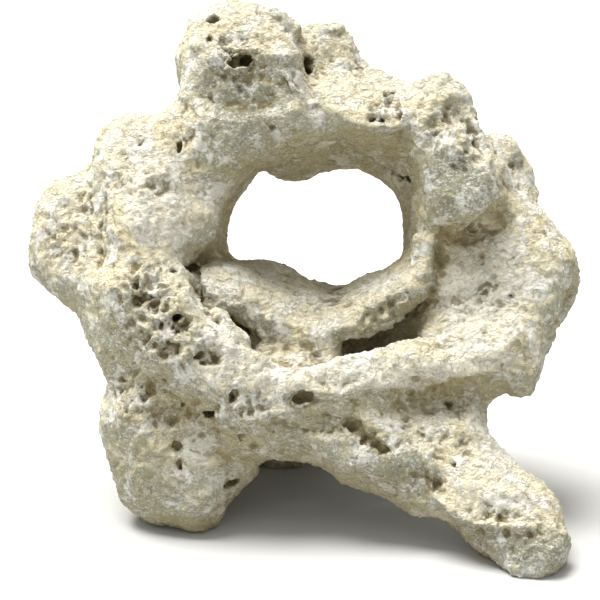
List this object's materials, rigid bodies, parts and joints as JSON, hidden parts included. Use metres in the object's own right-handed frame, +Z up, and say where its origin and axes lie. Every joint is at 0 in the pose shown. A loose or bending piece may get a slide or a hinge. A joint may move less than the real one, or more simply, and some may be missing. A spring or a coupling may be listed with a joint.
{
  "type": "limestone rock",
  "caption": "Pierced natural limestone rock: a leaning ring of pitted stone around a wide hole, with a ledge, a bowl and an outstretched foot, standing unheld.",
  "frame": {"origin": "middle of the bounding box's bottom face, on the ground that the feet stand on", "axes": "+X to the right as the stone is seen from in front, along its widest side; +Y from the front to the back; +Z up"},
  "size_m": [0.2766, 0.1967, 0.237],
  "materials": {
    "limestone": "rough, matt, pitted cream limestone with paler crust and brown stain in its hollows"
  },
  "bodies": {
    "root": {"limestone_rock": "limestone"}
  },
  "joints": []
}
